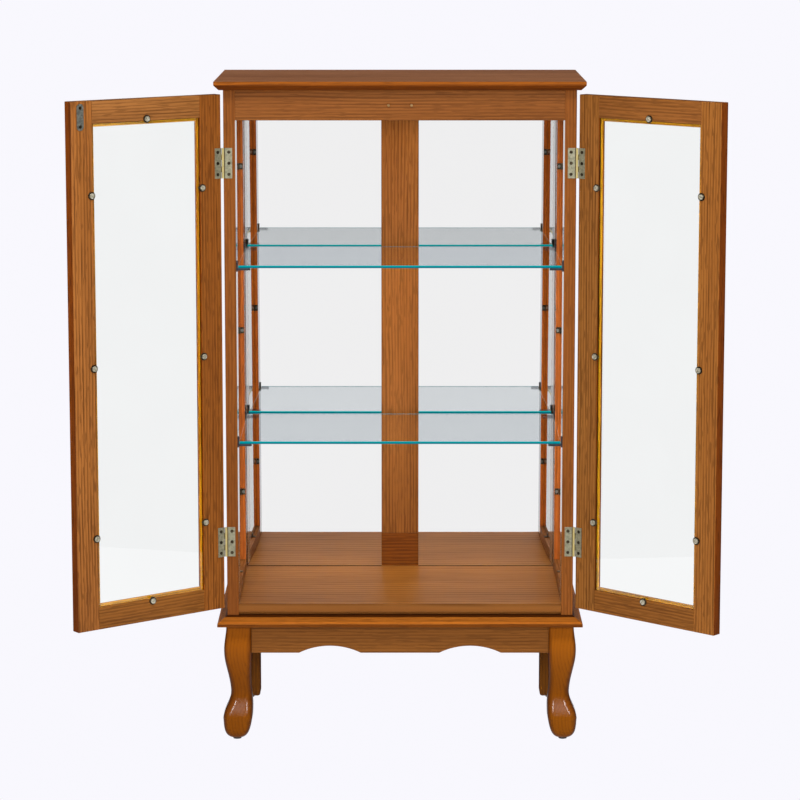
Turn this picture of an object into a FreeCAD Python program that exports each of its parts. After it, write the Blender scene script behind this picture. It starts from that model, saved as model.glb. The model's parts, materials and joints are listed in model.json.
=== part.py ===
# Glazed curio cabinet on short legs, with two doors that stand open.
# Millimetres, +Z up, front towards -Y, origin on the floor under the middle of the carcass.
import FreeCAD, Part
import math
import os
import re
import Sketcher

SIZES = {
    # carcass and its side frames
    "carcass_width": 540,
    "carcass_depth": 280,
    "carcass_height": 821,
    "side_thick": 18,
    "side_lip_thick": 7.5,
    "front_stile": 45,
    "rear_stile": 53,
    "side_bottom_rail": 38,
    "side_top_rail": 47,
    "face_rail_height": 47,
    "face_rail_thick": 18,
    # glass and the rabbets that hold it
    "lip_width": 5,
    "glass_thick": 3,
    "glass_play": 0.5,
    # top, floor and base boards
    "top_overhang": 13.5,
    "top_edge": 6,
    "top_bevel": 7.5,
    "base_overhang": 15,
    "front_overhang": 21,
    "base_edge": 5,
    "base_bevel": 10,
    "floor_thick": 18,
    "floor_groove_height": 4.5,
    "floor_groove_depth": 8,
    # back frame, back panel and mirrors
    "mirror_thick": 3,
    "mirror_play": 0.5,
    "back_frame_thick": 8,
    "back_panel_thick": 3,
    "back_bottom_rail": 55,
    "back_top_rail": 55,
    "back_side_stile": 55,
    "centre_stile": 76,
    "centre_strip": 60.6,
    # glass shelves and their supports
    "shelf_thick": 4,
    "shelf_depth": 250,
    "shelf_setback": 4,
    "shelf_end_gap": 2.9,
    "lower_shelf_rise": 253.2,
    "upper_shelf_rise": 528.3,
    "support_thick": 2.2,
    "support_tongue_thick": 3.6,
    "support_width": 9,
    "support_rise": 7,
    "support_tongue": 21.5,
    "support_pin_radius": 2.5,
    "support_pin_length": 8,
    "support_pin_drop": 3,
    "front_support_depth": 9,
    "rear_support_depth": 238,
    # legs, glides and aprons
    "leg_height": 183,
    "leg_width": 45,
    "rear_leg_width": 34,
    "rear_leg_inset": 5,
    "rear_leg_back_inset": 2,
    "rear_leg_rounding": 6,
    "glide_height": 4,
    "glide_radius": 6.5,
    "apron_height": 47.5,
    "apron_thick": 18,
    "apron_inset": 6,
    "apron_tenon": 6,
    "arch_span": 97,
    "arch_rise": 11.3,
    "arch_offset": 110,
    # doors
    "door_height": 802,
    "door_rise": 12,
    "door_thick": 16,
    "door_gap": 2,
    "door_rabbet": 6,
    "door_lip_thick": 3.5,
    "hinge_stile": 38,
    "free_stile": 37.5,
    "door_rail": 34,
    "left_open_angle": 142.3,
    "right_open_angle": 137.8,
    # hinges
    "hinge_offset": 0.7,
    "hinge_edge_gap": 2.4,
    "hinge_end_distance": 82,
    "leaf_height": 46.5,
    "leaf_width": 14,
    "leaf_thick": 1.2,
    "leaf_knuckle_gap": 0.3,
    "leaf_screw_pitch": 17,
    "leaf_screw_place": 9,
    "leaf_hole_clearance": 0.2,
    "knuckle_radius": 2,
    "knuckle_gap": 0.4,
    "pin_radius": 1,
    "pin_clearance": 0.05,
    # glass clips on the doors and brackets in the side frames
    "clip_radius": 6,
    "clip_thick": 1.2,
    "clip_offset": 3,
    "clip_pitch": 260,
    "clip_pad_radius": 1.2,
    "clip_pad_offset": 4.6,
    "bracket_thick": 1,
    "bracket_width": 10,
    "bracket_flange": 7,
    "bracket_foot": 7,
    "bracket_hole": 4.2,
    "bracket_pitch": 266,
    "bracket_rise": 399,
    # strike plate and catches
    "strike_width": 11.5,
    "strike_height": 40,
    "strike_thick": 1.2,
    "strike_inset": 16.5,
    "strike_drop": 23.5,
    "strike_screw_pitch": 14,
    "catch_radius": 2,
    "catch_reach": 2.4,
    "catch_depth": 8,
    "catch_rise": 6.5,
    # screws
    "clip_head_radius": 4,
    "clip_head_height": 1.8,
    "small_head_radius": 2.5,
    "small_head_height": 0.5,
    "shank_radius": 1.4,
    "shank_length": 9,
    "slot_width": 0.9,
    "slot_share": 0.6,
    # clearances and cuts
    "hole_clearance": 0.05,
    "overrun": 1,
}

KNUCKLES = 5
SCREW_TURN_STEP = 67
ROWS = (-1, 0, 1)
SIDES = (("left", False), ("right", True))

# Front leg: share of the height, then far side, near side and corner radius as shares of the width.
SHANK_SHARES = (
    (1.0, 1.06, 0.165, 0.10),
    (0.80, 1.127, 0.175, 0.20),
    (0.645, 1.081, 0.19, 0.24),
    (0.53, 0.984, 0.205, 0.26),
    (0.43, 0.923, 0.195, 0.27),
    (0.345, 0.937, 0.165, 0.27),
    (0.28, 1.035, 0.15, 0.26),
    (0.222, 1.137, 0.152, 0.25),
    (0.173, 1.179, 0.165, 0.24),
)
FOOT_SHARES = (
    (0.173, 1.179, 0.165, 0.24),
    (0.10, 1.155, 0.225, 0.24),
    (0.04, 1.095, 0.315, 0.22),
    (0.0, 0.96, 0.45, 0.20),
)

X_AXIS = FreeCAD.Vector(1, 0, 0)
Y_AXIS = FreeCAD.Vector(0, 1, 0)
Z_AXIS = FreeCAD.Vector(0, 0, 1)

# Levels and planes that several pieces share
BASE_UNDER = "(glide_height + leg_height)"
BASE_TOP = f"({BASE_UNDER} + base_edge + base_bevel)"
FLOOR_TOP = f"({BASE_TOP} + floor_thick)"
CARCASS_TOP = f"({BASE_TOP} + carcass_height)"
FACE = "(-carcass_depth / 2)"
BACK = "(carcass_depth / 2)"
SIDE = "(carcass_width / 2)"
INNER_SIDE = "(carcass_width / 2 - side_thick)"
PANEL_FRONT = f"({BACK} - back_panel_thick)"
FRAME_FRONT = f"({PANEL_FRONT} - back_frame_thick)"
MIRROR_FRONT = f"({FRAME_FRONT} - mirror_thick)"
HINGE_X = "(carcass_width / 2 + hinge_offset)"
HINGE_Y = f"({FACE} - knuckle_radius)"
DOOR_FREE = f"({HINGE_X} - door_gap / 2)"
DOOR_BOTTOM = f"({BASE_TOP} + door_rise)"
DOOR_TOP = f"({DOOR_BOTTOM} + door_height)"
STRIKE_Z = f"({DOOR_TOP} - strike_drop)"
HINGE_BOTTOMS = {
    "lower": f"({DOOR_BOTTOM} + hinge_end_distance)",
    "upper": f"({DOOR_TOP} - hinge_end_distance - leaf_height)",
}
HINGE_SCREW_HEIGHTS = [f"{bottom} + leaf_height / 2 + {k} * leaf_screw_pitch"
                       for bottom in HINGE_BOTTOMS.values() for k in ROWS]
REAR_LEG_FRONT = f"({BACK} - rear_leg_back_inset - rear_leg_width)"
REAR_LEG_OUTER = f"({SIDE} - rear_leg_inset)"

doc = FreeCAD.newDocument("CurioCabinet")
sheet = doc.addObject("Spreadsheet::Sheet", "Dims")
for row, (alias, value) in enumerate(SIZES.items(), start=1):
    sheet.set(f"A{row}", alias)
    sheet.set(f"B{row}", str(value))
    sheet.setAlias(f"B{row}", alias)
doc.recompute()
nodes = []


def formula(text):
    """The text as an expression that reads the named sizes from the sheet."""
    return re.sub(r"[a-z]\w*", lambda word: f"Dims.{word.group()}", str(text))


def number(text):
    return float(sheet.evalExpression(formula(text)))


def bind(piece, prop, text):
    piece.setExpression(prop, formula(text))


def place(piece, at, turn=None):
    """Set the piece's turn and tie its place to the sheet."""
    if turn is not None:
        piece.Placement = FreeCAD.Placement(FreeCAD.Vector(), turn)
    for axis, text in zip("xyz", at):
        bind(piece, f"Placement.Base.{axis}", text)
    return piece


def turn_to(x_axis, y_axis):
    """The rotation that takes X and Y to the two axes given."""
    return FreeCAD.Rotation(x_axis, y_axis, x_axis.cross(y_axis), "XYZ")


def moved(point, *moves):
    """The point's texts after moves along axes, each a direction and a distance."""
    texts = []
    for axis in range(len(point)):
        steps = [f" + {int(way[axis])} * ({far})" for way, far in moves if way[axis]]
        texts.append(f"({point[axis]}{''.join(steps)})")
    return tuple(texts)


def block(name, x, y, z, flip=False):
    """A box between low and high texts on each axis; flip mirrors it in X."""
    box = doc.addObject("Part::Box", name)
    for size, (low, high) in zip(("Length", "Width", "Height"), (x, y, z)):
        bind(box, size, f"({high}) - ({low})")
    return place(box, (f"-({x[1]})" if flip else x[0], y[0], z[0]))


def rod(name, radius, length, at, direction):
    cylinder = doc.addObject("Part::Cylinder", name)
    bind(cylinder, "Radius", radius)
    bind(cylinder, "Height", length)
    return place(cylinder, at, FreeCAD.Rotation(Z_AXIS, direction))


def fuse(name, pieces):
    joined = doc.addObject("Part::MultiFuse", name)
    joined.Shapes = pieces
    joined.Refine = True
    return joined


def group(name, pieces):
    compound = doc.addObject("Part::Compound", name)
    compound.Links = pieces
    return compound


def cut(name, base, tools):
    result = doc.addObject("Part::Cut", name)
    result.Base = base
    result.Tool = tools[0] if len(tools) == 1 else group(f"{name}_tools", tools)
    return result


def keep(piece, name):
    piece.Label = name
    nodes.append(piece)
    return piece


def copy(template, at, turn=FreeCAD.Rotation()):
    link = doc.addObject("App::Link", f"{template.Name}_copy")
    link.LinkedObject = template
    return place(link, at, turn)


def across(half):
    """The low and high texts of a run as long on both sides of zero."""
    return (f"-{half}", half)


def around(middle, size):
    """The low and high texts of a run of the given size about its middle."""
    return (f"{middle} - {size} / 2", f"{middle} + {size} / 2")


def onward(low, size):
    """The low and high texts of a run of the given size from its low end."""
    return (low, f"{low} + {size}")


def mirror_point(point, flip):
    return (f"-({point[0]})", point[1], point[2]) if flip else point


def tapered(name, low, high, z):
    """A board whose half width and front edge change from its low face to its high face."""
    wedge = doc.addObject("Part::Wedge", name)
    texts = {
        "Xmin": f"-({low[0]})", "Xmax": low[0], "X2min": f"-({high[0]})", "X2max": high[0],
        "Zmin": f"-({BACK})", "Zmax": f"-({low[1]})", "Z2min": f"-({BACK})", "Z2max": f"-({high[1]})",
        "Ymin": z[0], "Ymax": z[1],
    }
    for prop, text in texts.items():
        bind(wedge, prop, text)
    wedge.Placement = FreeCAD.Placement(FreeCAD.Vector(), FreeCAD.Rotation(Y_AXIS, Z_AXIS))
    return wedge


# Screws: a slotted head on +Y and a shank towards -Y
def screw(name, head_radius, head_height):
    origin = ("0", "0", "0")
    head = rod(f"{name}_head", head_radius, head_height, origin, Y_AXIS)
    shank = rod(f"{name}_shank", "shank_radius", "shank_length", origin, -Y_AXIS)
    reach = f"({head_radius} + overrun)"
    slot_depth = (f"{head_height} * (1 - slot_share)", f"{head_height} + overrun")
    slot = block(f"{name}_slot", across(reach), slot_depth, across("slot_width / 2"))
    return cut(name, fuse(f"{name}_blank", [head, shank]), [slot])


clip_screw = screw("clip_screw", "clip_head_radius", "clip_head_height")
small_screw = screw("small_screw", "small_head_radius", "small_head_height")
PILOT_RADIUS = "shank_radius + hole_clearance"
PILOT_DEPTH = "shank_length + hole_clearance"
LEAF_HOLE_RADIUS = "shank_radius + leaf_hole_clearance"


def screw_turn(index):
    """A turn about the screw's axis that leaves each slot at another angle."""
    return FreeCAD.Rotation(Y_AXIS, index * SCREW_TURN_STEP)


def pilot(name, at, direction):
    """A pilot hole that starts at a surface and runs into the wood."""
    return rod(name, PILOT_RADIUS, PILOT_DEPTH, at, direction)


# Frames: stiles run full height, rails lie between them, and a rabbet round the opening takes the pane.
# With an outer layer, the lip is thin and a step runs round the outside of the opening too.
def rabbeted_frame(names, span, z, face, lip, widths, along_x, flip, holes, outer=None):
    first, last, bottom, top = widths
    shoulder = (f"({span[0]} + {first})", f"({span[1]} - {last})")
    sight = (f"({shoulder[0]} + lip_width)", f"({shoulder[1]} - lip_width)")
    shoulder_z = (f"({z[0]} + {bottom})", f"({z[1]} - {top})")
    sight_z = (f"({shoulder_z[0]} + lip_width)", f"({shoulder_z[1]} - lip_width)")
    layers = {
        "first": (((span[0], shoulder[0]), z), ((span[0], sight[0]), z)),
        "last": (((shoulder[1], span[1]), z), ((sight[1], span[1]), z)),
        "bottom": ((shoulder, (z[0], shoulder_z[0])), (sight, (z[0], sight_z[0]))),
        "top": ((shoulder, (shoulder_z[1], z[1])), (sight, (sight_z[1], z[1]))),
    }
    members = []
    for member, (shoulders, sights) in layers.items():
        profile = [("face", shoulders, face), ("lip", sights, lip)]
        if outer:
            profile.append(("outer", shoulders, outer))
        blocks = []
        for label, (run, rise), depth in profile:
            x, y = (run, depth) if along_x else (depth, run)
            blocks.append(block(f"{names[member]}_{label}", x, y, rise, flip))
        blank = fuse(f"{names[member]}_blank", blocks)
        drills = holes.get(member)
        piece = cut(f"{names[member]}_drilled", blank, drills) if drills else blank
        members.append(keep(piece, names[member]))
    pane_run = (f"{shoulder[0]} + glass_play", f"{shoulder[1]} - glass_play")
    pane_rise = (shoulder_z[0], f"{shoulder_z[1]} - glass_play")
    return members, pane_run, pane_rise


# Side frames with their panes, brackets and bracket screws
def bracket_template():
    width = across("bracket_width / 2")
    flange = block("bracket_flange", ("0", "bracket_thick"), ("0", "bracket_flange"), width)
    foot = block("bracket_foot", ("0", "bracket_foot"), ("0", "bracket_thick"), width)
    hole = rod("bracket_hole", PILOT_RADIUS, "bracket_thick + 2 * overrun",
               ("-overrun", "bracket_hole", "0"), X_AXIS)
    return cut("bracket", fuse("bracket_blank", [flange, foot]), [hole])


bracket = bracket_template()
PANE_FACE = f"(-({SIDE} - side_lip_thick - glass_thick))"
BRACKET_MIDDLE_Z = f"({FLOOR_TOP} + bracket_rise)"
SIDE_MIDDLE_Y = f"(({FACE} + front_stile + {BACK} - rear_stile) / 2)"
BRACKET_PLACES = []
for k in ROWS:
    bracket_z = f"{BRACKET_MIDDLE_Z} + {k} * bracket_pitch"
    BRACKET_PLACES.append(("first", (PANE_FACE, f"{FACE} + front_stile", bracket_z), Y_AXIS))
    BRACKET_PLACES.append(("last", (PANE_FACE, f"{BACK} - rear_stile", bracket_z), -Y_AXIS))
BRACKET_PLACES += [
    ("bottom", (PANE_FACE, SIDE_MIDDLE_Y, f"{BASE_TOP} + side_bottom_rail"), Z_AXIS),
    ("top", (PANE_FACE, SIDE_MIDDLE_Y, f"{CARCASS_TOP} - side_top_rail"), -Z_AXIS),
]
SUPPORT_DEPTHS = {"first": f"({FACE} + front_support_depth)", "last": f"({FACE} + rear_support_depth)"}
SHELF_UNDERSIDES = {
    "shelf_lower": f"({FLOOR_TOP} + lower_shelf_rise)",
    "shelf_upper": f"({FLOOR_TOP} + upper_shelf_rise)",
}


bracket_copies = []
bracket_screws = []
for side, flip in SIDES:
    inward = -X_AXIS if flip else X_AXIS
    holes = {member: [] for member in ("first", "last", "bottom", "top")}
    for index, (member, spot, away) in enumerate(BRACKET_PLACES):
        seat = mirror_point(spot, flip)
        turn = turn_to(away, inward)
        bracket_copies.append(copy(bracket, seat, turn))
        entry = moved(seat, (inward, "bracket_hole"))
        holes[member].append(pilot(f"bracket_pilot_{side}_{index}", entry, -away))
        head_seat = moved(entry, (away, "bracket_thick"))
        bracket_screws.append(copy(small_screw, head_seat, FreeCAD.Rotation(Y_AXIS, away)))
    for member, depth in SUPPORT_DEPTHS.items():
        for shelf, underside in SHELF_UNDERSIDES.items():
            entry = mirror_point((f"-{INNER_SIDE}", depth, f"{underside} - support_pin_drop"), flip)
            holes[member].append(rod(f"support_hole_{side}_{member}_{shelf}",
                                     "support_pin_radius + hole_clearance",
                                     "support_pin_length + hole_clearance", entry, -inward))
    for index, height in enumerate(HINGE_SCREW_HEIGHTS):
        entry = mirror_point((f"-{HINGE_X} + leaf_screw_place", FACE, height), flip)
        holes["first"].append(pilot(f"frame_pilot_{side}_{index}", entry, Y_AXIS))
    names = {
        "first": f"front_post_{side}", "last": f"rear_post_{side}",
        "bottom": f"side_bottom_rail_{side}", "top": f"side_top_rail_{side}",
    }
    lip_plane = f"(-({SIDE} - side_lip_thick))"
    _, pane_run, pane_rise = rabbeted_frame(
        names, (FACE, BACK), (BASE_TOP, CARCASS_TOP),
        face=(lip_plane, f"-{INNER_SIDE}"), lip=(f"-{SIDE}", lip_plane),
        widths=("front_stile", "rear_stile", "side_bottom_rail", "side_top_rail"),
        along_x=False, flip=flip, holes=holes)
    pane_depth = onward(lip_plane, "glass_thick")
    keep(block(f"side_pane_{side}", pane_depth, pane_run, pane_rise, flip), f"side_glass_{side}")
keep(group("side_bracket_group", bracket_copies), "side_glass_clips")
keep(group("side_bracket_screw_group", bracket_screws), "side_clip_screws")


# Top board and base board, each a flat slab with a sloping edge on the front and both sides
top_half = f"({SIDE} + top_overhang)"
top_front = f"({FACE} - front_overhang)"
top_edge_low = f"({CARCASS_TOP} + top_bevel)"
top_slope = tapered("top_slope", (f"{top_half} - top_bevel", f"{top_front} + top_bevel"),
                    (top_half, top_front), (CARCASS_TOP, top_edge_low))
top_slab = block("top_slab", across(top_half), (top_front, BACK), onward(top_edge_low, "top_edge"))
keep(fuse("top_board_joined", [top_slope, top_slab]), "top_board")

base_half = f"({SIDE} + base_overhang)"
base_front = f"({FACE} - front_overhang)"
base_edge_high = f"({BASE_UNDER} + base_edge)"
base_slope = tapered("base_slope", (base_half, base_front), (SIDE, FACE), (base_edge_high, BASE_TOP))
base_slab = block("base_slab", across(base_half), (base_front, BACK), (BASE_UNDER, base_edge_high))
keep(fuse("base_board_joined", [base_slope, base_slab]), "base_board")


# Floor board with a shadow groove under its front edge
floor_blank = block("floor_blank", across(INNER_SIDE), (FACE, PANEL_FRONT), (BASE_TOP, FLOOR_TOP))
floor_groove = block("floor_groove", across(f"({INNER_SIDE} + overrun)"),
                     (f"{FACE} - overrun", f"{FACE} + floor_groove_depth"),
                     (f"{BASE_TOP} - overrun", f"{BASE_TOP} + floor_groove_height"))
keep(cut("floor_grooved", floor_blank, [floor_groove]), "floor_board")


# Front top rail with a round catch for each door
rail_blank = block("face_rail_blank", across(INNER_SIDE), onward(FACE, "face_rail_thick"),
                   (f"{CARCASS_TOP} - face_rail_height", CARCASS_TOP))
catch_x = "(door_gap / 2 + strike_inset)"
catch_z = f"({STRIKE_Z} + catch_rise)"
catch_holes = []
catches = []
for sign in (-1, 1):
    seat = (f"{sign} * {catch_x}", FACE, catch_z)
    catch_holes.append(rod("catch_hole", "catch_radius + hole_clearance", "catch_depth + hole_clearance",
                           seat, Y_AXIS))
    catches.append(rod("catch", "catch_radius", "catch_reach + catch_depth",
                       moved(seat, (-Y_AXIS, "catch_reach")), Y_AXIS))
keep(cut("face_rail_drilled", rail_blank, catch_holes), "face_top_rail")
keep(group("catch_group", catches), "catch_magnets")


# Back: a light frame, the mirrors on its front and a panel over its rear
back_low = f"({FLOOR_TOP} + back_bottom_rail)"
back_high = f"({CARCASS_TOP} - back_top_rail)"
frame_run = (FRAME_FRONT, PANEL_FRONT)
full_run = across(INNER_SIDE)
stile_rise = (back_low, back_high)
keep(block("back_bottom", full_run, frame_run, (FLOOR_TOP, back_low)), "back_bottom_rail")
keep(block("back_top", full_run, frame_run, (back_high, CARCASS_TOP)), "back_top_rail")
keep(block("back_centre", across("centre_stile / 2"), frame_run, stile_rise), "back_centre_stile")
keep(block("back_sheet", full_run, (PANEL_FRONT, BACK), (BASE_TOP, CARCASS_TOP)), "back_panel")
for side, flip in SIDES:
    stile_run = onward(f"-{INNER_SIDE}", "back_side_stile")
    keep(block(f"back_side_{side}", stile_run, frame_run, stile_rise, flip), f"back_stile_{side}")
    mirror_run = (f"-{INNER_SIDE} + mirror_play", "-centre_strip / 2")
    keep(block(f"mirror_pane_{side}", mirror_run, (MIRROR_FRONT, FRAME_FRONT),
               (FLOOR_TOP, f"{CARCASS_TOP} - mirror_play"), flip), f"mirror_{side}")


# Glass shelves on spoon-shaped supports, each with a pin in its post
shelf_half = f"({INNER_SIDE} - shelf_end_gap)"
shelf_front = f"({FACE} + shelf_setback)"
shelf_run = onward(shelf_front, "shelf_depth")
supports = []
for shelf, underside in SHELF_UNDERSIDES.items():
    pane = block(f"{shelf}_pane", across(shelf_half), shelf_run, onward(underside, "shelf_thick"))
    keep(pane, shelf)
    for side, flip in SIDES:
        for member, depth in SUPPORT_DEPTHS.items():
            label = f"support_{shelf}_{side}_{member}"
            wall = f"-{INNER_SIDE}"
            run = around(depth, "support_width")
            foot = f"{underside} - support_pin_drop - support_pin_radius"
            upright = block(f"{label}_upright", onward(wall, "support_thick"), run,
                            (foot, f"{underside} + shelf_thick + support_rise"), flip)
            tip_x = f"{wall} + support_tongue - support_width / 2"
            tongue = block(f"{label}_tongue", (wall, tip_x), run,
                           (f"{underside} - support_tongue_thick", underside), flip)
            tip_foot = mirror_point((tip_x, depth, f"{underside} - support_tongue_thick"), flip)
            tip = rod(f"{label}_tip", "support_width / 2", "support_tongue_thick", tip_foot, Z_AXIS)
            inward = -X_AXIS if flip else X_AXIS
            seat = mirror_point((wall, depth, f"{underside} - support_pin_drop"), flip)
            pin = rod(f"{label}_pin", "support_pin_radius", "support_pin_length", seat, -inward)
            supports.append(fuse(label, [upright, tongue, tip, pin]))
keep(group("support_group", supports), "shelf_supports")


# Front legs: lofts through rounded squares, a shank and a foot that meet in a ridge
def plane_of(body, role):
    return next(feature for feature in body.Origin.OriginFeatures if feature.Role == role)


def rounded_square(sketch, near, far, corner):
    """A square from near to far on both axes, with round corners, tied to the sheet."""
    low, high, radius = number(near), number(far), number(corner)
    soft_low, soft_high = low + radius, high - radius
    sides = (
        ((soft_low, low), (soft_high, low)), ((high, soft_low), (high, soft_high)),
        ((soft_high, high), (soft_low, high)), ((low, soft_high), (low, soft_low)),
    )
    centres = ((soft_high, soft_low), (soft_high, soft_high), (soft_low, soft_high), (soft_low, soft_low))
    quarter = math.pi / 2
    for index, (side, centre) in enumerate(zip(sides, centres)):
        start, end = (FreeCAD.Vector(*point, 0) for point in side)
        sketch.addGeometry(Part.LineSegment(start, end))
        circle = Part.Circle(FreeCAD.Vector(*centre, 0), Z_AXIS, radius)
        sketch.addGeometry(Part.ArcOfCircle(circle, (index - 1) * quarter, index * quarter))
    corners = len(sides)
    for index in range(corners):
        line, arc, next_line = 2 * index, 2 * index + 1, 2 * (index + 1) % (2 * corners)
        sketch.addConstraint(Sketcher.Constraint("Tangent", line, 2, arc, 1))
        sketch.addConstraint(Sketcher.Constraint("Tangent", arc, 2, next_line, 1))
        sketch.addConstraint(Sketcher.Constraint("Vertical" if index % 2 else "Horizontal", line))
        if index:
            sketch.addConstraint(Sketcher.Constraint("Equal", 1, arc))
    bottom, right, top, left, first_arc = 0, 2, 4, 6, 1
    datums = (
        ("corner", Sketcher.Constraint("Radius", first_arc, radius), corner),
        ("left", Sketcher.Constraint("DistanceX", -1, 1, left, 1, low), near),
        ("right", Sketcher.Constraint("DistanceX", -1, 1, right, 1, high), far),
        ("bottom", Sketcher.Constraint("DistanceY", -1, 1, bottom, 1, low), near),
        ("top", Sketcher.Constraint("DistanceY", -1, 1, top, 1, high), far),
    )
    for name, constraint, text in datums:
        index = sketch.addConstraint(constraint)
        sketch.renameConstraint(index, name)
        bind(sketch, f"Constraints.{name}", text)


def lofted(body, name, shares):
    sketches = []
    for index, (height, far, near, corner) in enumerate(shares):
        sketch = body.newObject("Sketcher::SketchObject", f"{name}_section_{index}")
        sketch.AttachmentSupport = [(plane_of(body, "XY_Plane"), "")]
        sketch.MapMode = "FlatFace"
        bind(sketch, "AttachmentOffset.Base.z", f"glide_height + leg_height * {height}")
        rounded_square(sketch, f"leg_width * {near}", f"leg_width * {far}", f"leg_width * {corner}")
        sketches.append(sketch)
    doc.recompute()
    loft = body.newObject("PartDesign::AdditiveLoft", name)
    loft.Profile = sketches[0]
    loft.Sections = sketches[1:]
    doc.recompute()
    return loft


LEG_NEAR_SHARE = min(near for _, _, near, _ in SHANK_SHARES[:2])
LEG_REACH = f"(leg_width * (1 - {LEG_NEAR_SHARE}) - apron_tenon)"
APRON_Z = (f"({BASE_UNDER} - apron_height)", BASE_UNDER)
FRONT_APRON_Y = onward(f"{FACE} + apron_inset", "apron_thick")
FRONT_APRON_END = f"({SIDE} - {LEG_REACH})"
SIDE_APRON_X = onward(f"-{SIDE} + apron_inset", "apron_thick")
SIDE_APRON_END = f"({FACE} + {LEG_REACH})"
REAR_APRON_Y = (f"{BACK} - rear_leg_back_inset - apron_thick", f"{BACK} - rear_leg_back_inset")
REAR_APRON_END = f"({REAR_LEG_OUTER} - rear_leg_width)"

leg_body = doc.addObject("PartDesign::Body", "front_leg_body")
lofted(leg_body, "leg_shank", SHANK_SHARES)
lofted(leg_body, "leg_foot", FOOT_SHARES)
place(leg_body, (f"-({SIDE} - leg_width)", f"{FACE} + leg_width", "0"), turn_to(-X_AXIS, -Y_AXIS))
mortise_depth = "apron_tenon + overrun"
mortise_z = (APRON_Z[0], f"{APRON_Z[1]} + overrun")
front_mortise = block("front_mortise", onward(f"-{FRONT_APRON_END}", mortise_depth),
                      FRONT_APRON_Y, mortise_z)
side_mortise = block("side_mortise", SIDE_APRON_X, onward(SIDE_APRON_END, mortise_depth), mortise_z)
left_leg = keep(cut("front_leg_mortised", leg_body, [front_mortise, side_mortise]), "front_leg_left")
right_leg = doc.addObject("Part::Mirroring", "front_leg_mirrored")
right_leg.Source = left_leg
right_leg.Normal = X_AXIS
keep(right_leg, "front_leg_right")


# Rear legs: square posts, rounded at the foot
def rear_leg(side, flip):
    body = doc.addObject("PartDesign::Body", f"rear_leg_{side}_body")
    post = body.newObject("PartDesign::AdditiveBox", f"rear_leg_{side}_post")
    bind(post, "Length", "rear_leg_width")
    bind(post, "Width", "rear_leg_width")
    bind(post, "Height", "leg_height")
    doc.recompute()
    foot_edges = [f"Edge{index}" for index, edge in enumerate(post.Shape.Edges, start=1)
                  if edge.BoundBox.ZMax < post.Shape.BoundBox.Center.z]
    rounding = body.newObject("PartDesign::Fillet", f"rear_leg_{side}_rounding")
    rounding.Base = (post, foot_edges)
    bind(rounding, "Radius", "rear_leg_rounding")
    low_x = f"{REAR_LEG_OUTER} - rear_leg_width" if flip else f"-{REAR_LEG_OUTER}"
    place(body, (low_x, REAR_LEG_FRONT, "glide_height"))
    keep(body, f"rear_leg_{side}")


for side, flip in SIDES:
    rear_leg(side, flip)

foot_near_share, foot_far_share = FOOT_SHARES[-1][2], FOOT_SHARES[-1][1]
foot_inset = f"(leg_width * (1 - ({foot_near_share} + {foot_far_share}) / 2))"
glides = []
for sign in (-1, 1):
    front_centre = (f"{sign} * ({SIDE} - {foot_inset})", f"{FACE} + {foot_inset}", "0")
    rear_centre = (f"{sign} * ({REAR_LEG_OUTER} - rear_leg_width / 2)",
                   f"{REAR_LEG_FRONT} + rear_leg_width / 2", "0")
    for centre in (front_centre, rear_centre):
        glides.append(rod("glide", "glide_radius", "glide_height", centre, Z_AXIS))
keep(group("glide_group", glides), "leg_glides")


# Aprons between the legs: the front one has two shallow arches in its lower edge
front_blank = block("apron_front_blank", across(FRONT_APRON_END), FRONT_APRON_Y, APRON_Z)
arch_radius = "((arch_span^2 / 4 + arch_rise^2) / (2 * arch_rise))"
arches = [rod("arch", arch_radius, "apron_thick + 2 * overrun",
              (f"{sign} * arch_offset", f"{FRONT_APRON_Y[0]} - overrun",
               f"{APRON_Z[0]} + arch_rise - {arch_radius}"), Y_AXIS)
          for sign in (-1, 1)]
keep(cut("apron_front_arched", front_blank, arches), "apron_front")
side_apron_y = (SIDE_APRON_END, REAR_LEG_FRONT)
for side, flip in SIDES:
    keep(block(f"apron_{side}_board", SIDE_APRON_X, side_apron_y, APRON_Z, flip), f"apron_{side}")
keep(block("apron_rear_board", across(REAR_APRON_END), REAR_APRON_Y, APRON_Z), "apron_rear")


# Butt hinges about an axis on Z: the leaf on the door lies on -Y of the axis, the one on the frame on +Y
def hinge_leaf(name, plate_y, own_knuckles, flip):
    plate_edge = "(knuckle_radius + leaf_knuckle_gap)"
    pieces = [block(f"{name}_plate", (plate_edge, "leaf_width"), plate_y, ("0", "leaf_height"), flip)]
    for index in own_knuckles:
        low = f"(leaf_height * {index} / {KNUCKLES} + knuckle_gap / 2)"
        high = f"(leaf_height * {index + 1} / {KNUCKLES} - knuckle_gap / 2)"
        pieces.append(block(f"{name}_tab", ("0", plate_edge), plate_y, (low, high), flip))
        pieces.append(rod(f"{name}_knuckle", "knuckle_radius", f"{high} - {low}", ("0", "0", low), Z_AXIS))
    drills = [rod(f"{name}_bore", "pin_radius + pin_clearance", "leaf_height + 2 * overrun",
                  ("0", "0", "-overrun"), Z_AXIS)]
    for k in ROWS:
        spot = mirror_point(("leaf_screw_place", f"{plate_y[0]} - overrun",
                             f"leaf_height / 2 + {k} * leaf_screw_pitch"), flip)
        drills.append(rod(f"{name}_hole", LEAF_HOLE_RADIUS, "leaf_thick + 2 * overrun", spot, Y_AXIS))
    return cut(name, fuse(f"{name}_blank", pieces), drills)


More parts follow.
